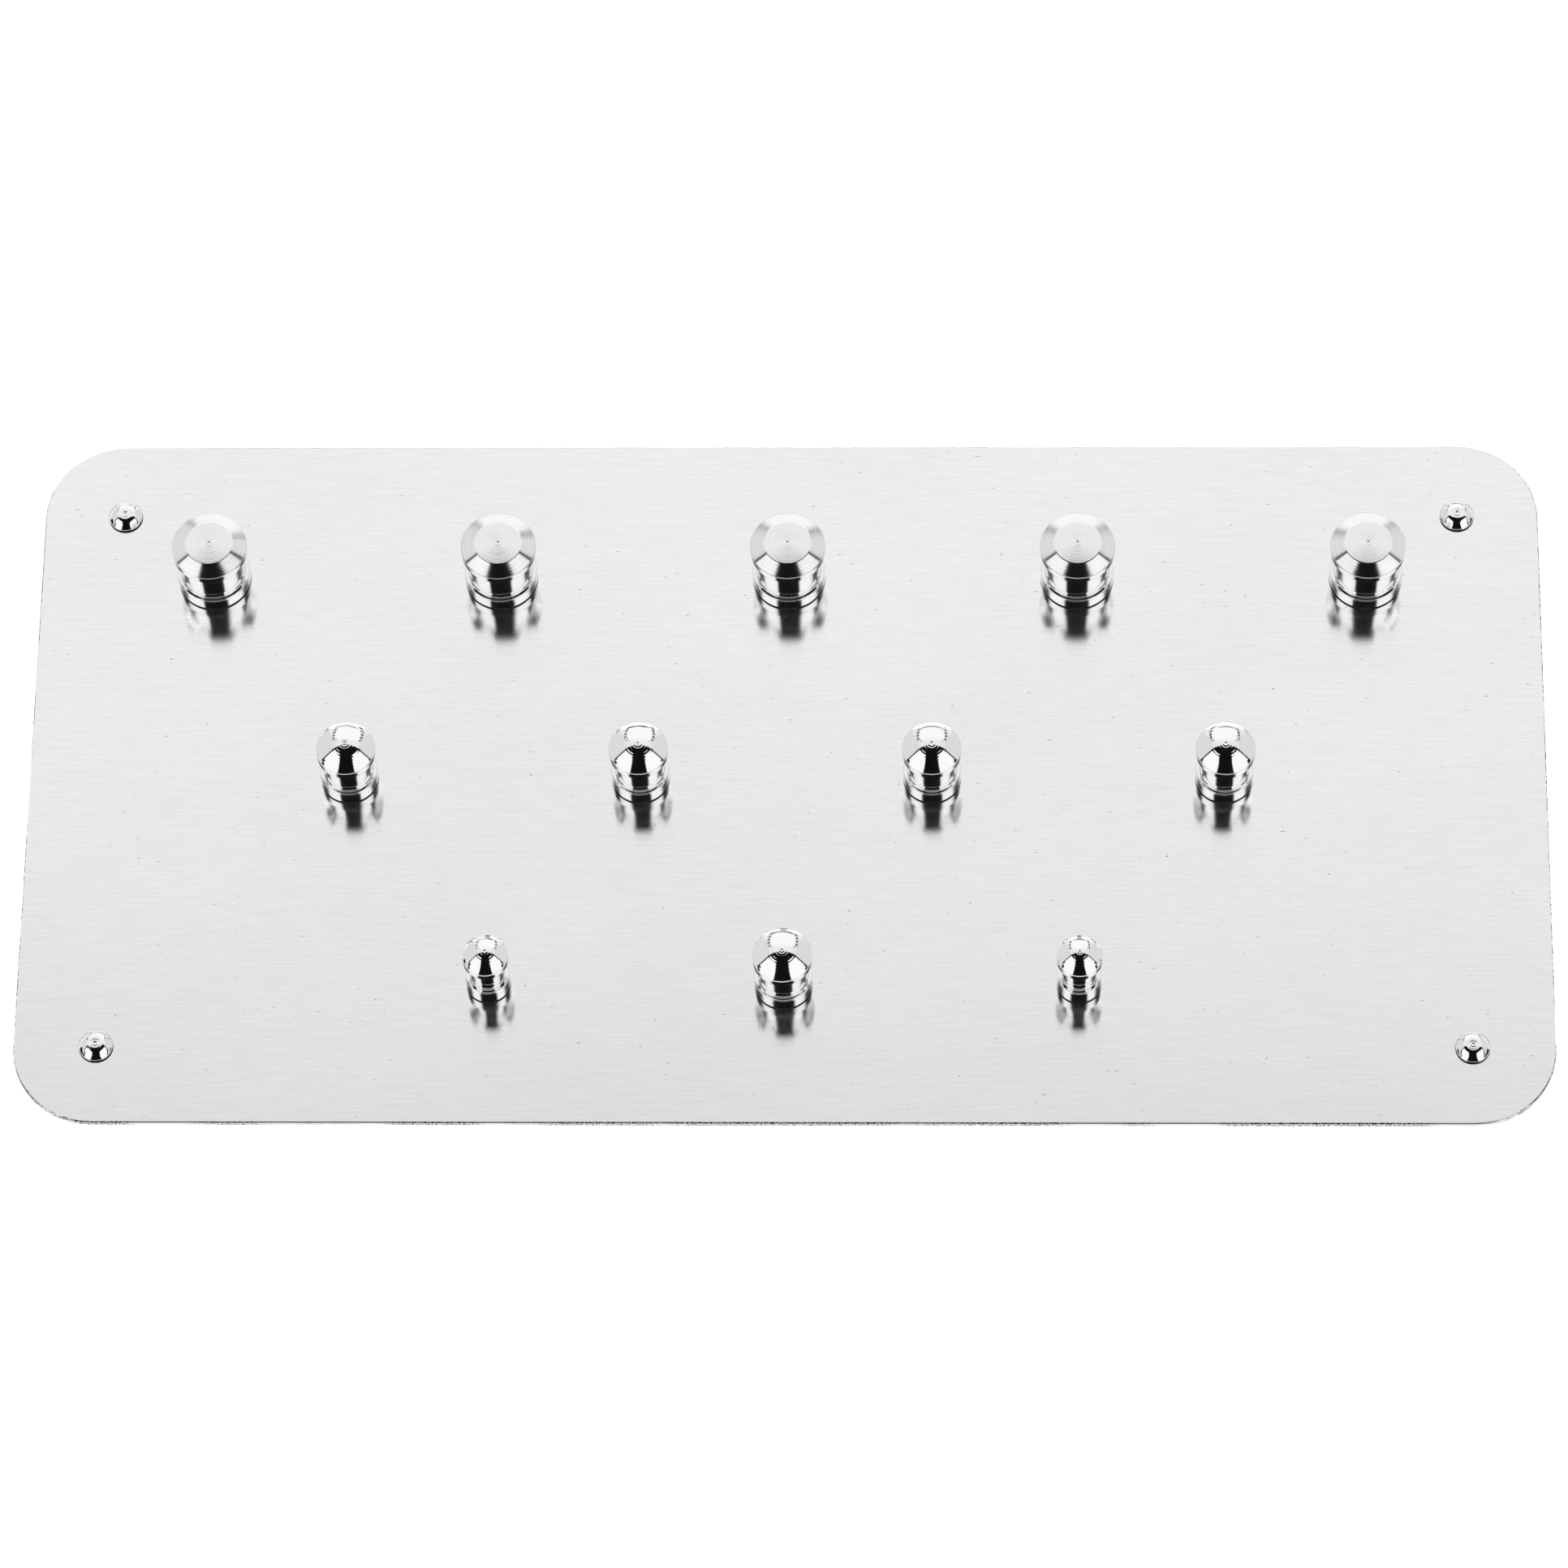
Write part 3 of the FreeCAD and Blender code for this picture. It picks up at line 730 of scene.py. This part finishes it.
class CLAMP_HOLDER_OT_studs(bpy.types.Operator):
    """Turn the four corner studs"""

    bl_idname = "clamp_holder.studs"
    bl_label = "Turn Studs"

    shank_radius: length("Shank", "Radius of the shank", 1.5)
    head_edge: length("Head edge", "Upright edge of the domed head", 0.3)
    crown_radius: length("Crown", "Radius of the flat middle of the head", 0.75)
    tip_chamfer: length("Tip chamfer", "Chamfer at the shank's tip", 0.35)
    edge_round: length("Edge round", "Round along the head's edge", 0.1)
    # Height of the band of painted shade under the head
    seam_height: length("Seam", "How high the dark seam under the head reaches", 0.27)

    def execute(self, context):
        marks = context.scene.clamp_holder_marks
        finishes = context.scene.clamp_holder_finishes
        materials = (polished_steel("stud_steel", finishes), dark_seam(finishes))
        for seed, name in enumerate(STUDS):
            low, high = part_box(name)
            reach = (high.x - low.x) / 2
            rise = high.z - PLATE_TOP - self.head_edge
            tip = low.z - PLATE_TOP

            def height_at(radius):
                return shouldered(radius, reach, rise, self.crown_radius)

            section = head_points(reach, self.head_edge, height_at, marks, marks.stud_ring_height,
                                  marks.stud_middle_rings, seed)
            section += [
                (reach, self.seam_height),
                (reach, 0),
                (self.shank_radius, 0),
                (self.shank_radius, tip),
                (0, tip),
            ]
            rounds = (
                (reach, self.head_edge, self.edge_round, EDGE_STEPS),
                (self.shank_radius, tip, self.tip_chamfer, CHAMFER_STEPS),
            )
            mesh = turn(section, rounds, marks.segments)
            for face in mesh.faces:
                middle = face.calc_center_median()
                # Faces low on the head's edge get the painted shade
                if 0 <= middle.z < self.seam_height and middle.xy.length > self.shank_radius:
                    face.material_index = STUD_PAINTED_SHADE
            finished_piece(f"turned_{name}", mesh, foot_of(name, PLATE_TOP), materials,
                           name)
        return {"FINISHED"}


class CLAMP_HOLDER_OT_feet(bpy.types.Operator):
    """Mould the four rubber feet"""

    bl_idname = "clamp_holder.feet"
    bl_label = "Mould Feet"

    base_radius: length("Base", "Radius of the foot at the table", 4.0)
    base_round: length("Base round", "Rounded lower edge", 0.6)
    hole_radius: length("Hole", "Radius of the hole for the stud", 1.53)
    hole_floor: length("Hole floor", "Height of the hole's floor", 0.8)

    def execute(self, context):
        rubber = foot_rubber(context.scene.clamp_holder_finishes)
        for name in FEET:
            low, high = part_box(name)
            section = [
                (0, self.hole_floor),
                (self.hole_radius, self.hole_floor),
                (self.hole_radius, high.z),
                ((high.x - low.x) / 2, high.z),
                (self.base_radius, 0),
                (0, 0),
            ]
            rounds = ((self.base_radius, 0, self.base_round, FILLET_STEPS),)
            mesh = turn(section, rounds, context.scene.clamp_holder_marks.segments)
            finished_piece(f"moulded_{name}", mesh, foot_of(name, 0), (rubber,), name)
        return {"FINISHED"}


class CLAMP_HOLDER_OT_screws(bpy.types.Operator):
    """Give the screws under the plate their finish"""

    bl_idname = "clamp_holder.screws"
    bl_label = "Finish Screws"

    def execute(self, context):
        paint_node("peg_screws", screw_steel(context.scene.clamp_holder_finishes))
        return {"FINISHED"}


def studio_floor(studio):
    """A wide pale floor under the feet."""
    mesh = bmesh.new()
    bmesh.ops.create_grid(mesh, x_segments=1, y_segments=1, size=studio.floor_size)
    data = bpy.data.meshes.new("studio_floor")
    mesh.to_mesh(data)
    mesh.free()
    material, shader = new_material("pale_floor")
    grain = shader.pattern(FLOOR_GRAIN)
    shader.finish(
        Base_Color=shader.grey(shader.ramp(grain, *WIDE, studio.floor_grey - studio.floor_uneven,
                                           studio.floor_grey)),
        Roughness=studio.floor_roughness,
        Specular_IOR_Level=studio.floor_sheen,
        Emission_Color=WHITE,
        Emission_Strength=studio.floor_glow,
    )
    data.materials.append(material)
    floor = bpy.data.objects.new("studio_floor", data)
    bpy.context.scene.collection.objects.link(floor)


def studio_light(studio):
    """Panels of soft light with dark gaps between them, told apart by the direction they lie in.

    over counts from the front horizon over the top to the back, side away from the middle plane,
    height up from the horizon, and turned round the upright axis from the front.
    """
    world = bpy.data.worlds.new("studio_light")
    world.use_nodes = True
    shader = Shader(world.node_tree)
    towards = shader.add("ShaderNodeSeparateXYZ")
    shader.plug(shader.add("ShaderNodeTexCoord").outputs["Generated"], towards.inputs[0])
    across = shader.math("ABSOLUTE", towards.outputs["X"])
    forward = shader.math("MULTIPLY", towards.outputs["Y"], -1.0)
    side = shader.math("ARCSINE", across)
    over = shader.math("ARCTAN2", towards.outputs["Z"], forward)
    height = shader.math("ARCSINE", towards.outputs["Z"])
    turned = shader.math("ARCTAN2", across, forward)
    soft = studio.soft
    up = shader.above(height, 0.0, soft)

    def leaning(start, lean):
        """How far a direction lies past an edge that rises towards the sides."""
        edge = shader.math("MULTIPLY_ADD", side, lean, start)
        return shader.math("SUBTRACT", over, edge)

    def bulging(half_width, middle, curve):
        """How far a direction lies outside a half width that changes away from its middle."""
        away = shader.math("SUBTRACT", over, middle)
        edge = shader.math("MULTIPLY_ADD", shader.both(away, away), curve, half_width)
        return shader.math("SUBTRACT", side, edge)

    past_window_front = leaning(studio.window_from, studio.window_from_lean)
    past_window_side = bulging(studio.window_side, studio.window_widest, studio.window_curve)
    past_panels = leaning(studio.panel_to, studio.panel_to_lean)
    past_gap_side = bulging(studio.gap_side, studio.gap_narrowest, studio.gap_curve)
    past_bar_front = leaning(studio.bar_from, studio.bar_from_lean)
    before_bar_back = shader.below(leaning(studio.bar_to, studio.bar_to_lean), 0.0, soft)

    def back_panel(margin):
        """The window behind and above, wider all round by the margin except at its near edge."""
        reach = shader.both(shader.above(past_window_front, 0.0, soft),
                            shader.below(over, studio.window_to + margin, soft))
        return shader.both(reach, shader.below(past_window_side, margin, soft))

    def side_panel(margin):
        """The panels left and right of the front gap, wider by the margin at their outer edges."""
        reach = shader.both(shader.above(height, studio.panel_from, soft),
                            shader.below(side, studio.panel_side + margin, soft))
        near = shader.both(shader.below(past_panels, margin, soft), before_bar_back)
        return shader.both(near, reach)

    low_front = shader.both(shader.below(over, studio.gap_from, soft),
                            shader.below(turned, studio.side_gap_front, soft))
    gap = shader.both(shader.between(over, studio.gap_from, studio.bar_to, soft),
                      shader.below(past_gap_side, 0.0, soft))
    bar = shader.both(shader.both(shader.above(past_bar_front, 0.0, soft), before_bar_back),
                      shader.below(side, studio.bar_side, soft))
    side_gap = shader.both(shader.between(height, studio.side_gap_from, studio.panel_from, soft),
                           shader.between(turned, studio.side_gap_front, studio.side_gap_back, soft))

    light = shader.ramp(side, studio.sides_from - 2 * soft, studio.sides_from + 2 * soft,
                        studio.room, studio.room_sides)
    for mask, level in (
        (back_panel(studio.window_frame), studio.frame),
        (back_panel(0), studio.window),
        (side_panel(studio.panel_frame), studio.frame),
        (side_panel(0), studio.panels),
        (low_front, studio.low),
        (gap, studio.dark),
        (bar, studio.dark),
        (side_gap, studio.dark),
    ):
        light = shader.blend(shader.both(mask, up), light, level)
    seen = shader.add("ShaderNodeLightPath").outputs["Is Camera Ray"]
    background = shader.add("ShaderNodeBackground")
    shader.plug(shader.grey(shader.blend(seen, light, 1.0)), background.inputs["Color"])
    output = shader.add("ShaderNodeOutputWorld")
    shader.plug(background.outputs["Background"], output.inputs["Surface"])
    bpy.context.scene.world = world


def studio_camera(studio):
    """The camera at the photograph's angle."""
    data = bpy.data.cameras.new("camera")
    data.lens = studio.lens
    data.clip_start = CAMERA_NEAR
    data.clip_end = CAMERA_FAR
    camera = bpy.data.objects.new("camera", data)
    camera.location = (studio.camera_x, studio.camera_y, studio.camera_z)
    camera.rotation_euler = Euler((studio.tilt_x, studio.tilt_y, studio.tilt_z))
    bpy.context.scene.collection.objects.link(camera)
    bpy.context.scene.camera = camera


class CLAMP_HOLDER_OT_stage(bpy.types.Operator):
    """Set up the floor, the light and the camera"""

    bl_idname = "clamp_holder.stage"
    bl_label = "Set Stage"

    def execute(self, context):
        studio = context.scene.clamp_holder_studio
        studio_floor(studio)
        studio_light(studio)
        studio_camera(studio)
        context.scene.view_settings.view_transform = "Standard"
        return {"FINISHED"}


OPERATORS = (
    CLAMP_HOLDER_OT_plate,
    CLAMP_HOLDER_OT_pegs,
    CLAMP_HOLDER_OT_studs,
    CLAMP_HOLDER_OT_feet,
    CLAMP_HOLDER_OT_screws,
    CLAMP_HOLDER_OT_stage,
)


class CLAMP_HOLDER_PT_panel(bpy.types.Panel):
    """Lists the steps and the values that they use"""

    bl_idname = "CLAMP_HOLDER_PT_panel"
    bl_label = "Clamp Holder"
    bl_space_type = "VIEW_3D"
    bl_region_type = "UI"
    bl_category = "Clamp Holder"

    def draw(self, context):
        for operator in OPERATORS:
            self.layout.operator(operator.bl_idname)
        for holder, group in GROUPS.items():
            box = self.layout.box()
            box.label(text=group.__name__)
            for name in group.__annotations__:
                box.prop(getattr(context.scene, holder), name)


CLASSES = (*GROUPS.values(), *OPERATORS, CLAMP_HOLDER_PT_panel)


def register():
    for entry in CLASSES:
        bpy.utils.register_class(entry)
    for name, group in GROUPS.items():
        setattr(bpy.types.Scene, name, PointerProperty(type=group))


def unregister():
    for name in GROUPS:
        delattr(bpy.types.Scene, name)
    for entry in reversed(CLASSES):
        bpy.utils.unregister_class(entry)


def main():
    register()
    bpy.ops.clamp_holder.plate()
    bpy.ops.clamp_holder.pegs()
    bpy.ops.clamp_holder.studs()
    bpy.ops.clamp_holder.feet()
    bpy.ops.clamp_holder.screws()
    bpy.ops.clamp_holder.stage()


if __name__ == "__main__":
    main()
